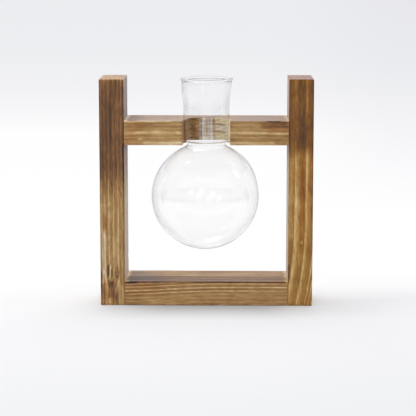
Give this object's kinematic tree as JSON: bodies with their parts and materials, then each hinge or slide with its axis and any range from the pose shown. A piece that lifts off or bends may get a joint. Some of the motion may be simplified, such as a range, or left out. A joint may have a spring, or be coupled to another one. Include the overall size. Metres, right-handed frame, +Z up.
{
  "type": "propagation vase",
  "caption": "Clear round-bottomed glass flask hanging by its neck in the open notch of a small upright wooden frame, for rooting cuttings in water.",
  "frame": {"origin": "on the flask's vertical axis, level with the surface that the frame stands on", "axes": "+Z up, +X to the right along the rails, +Y to the back; the flask slides out along -Y"},
  "size_m": [0.155, 0.0784, 0.167],
  "materials": {
    "torched_pine": "torched and brushed, unvarnished",
    "clear_glass": "clear, fire-polished",
    "beech": "plain"
  },
  "bodies": {
    "frame": {"left_post": "torched_pine", "right_post": "torched_pine", "neck_rail": "torched_pine", "base_rail": "torched_pine", "dowel_neck_left_front": "beech", "dowel_neck_left_back": "beech", "dowel_neck_right_front": "beech", "dowel_neck_right_back": "beech", "dowel_base_left_front": "beech", "dowel_base_left_back": "beech", "dowel_base_right_front": "beech", "dowel_base_right_back": "beech"},
    "flask": {"glass_flask": "clear_glass"}
  },
  "joints": [
    {"name": "flask_slide_out", "type": "slide", "parent": "frame", "child": "flask", "axis": [0, -1, 0], "range_m": [0, 0.05]}
  ]
}
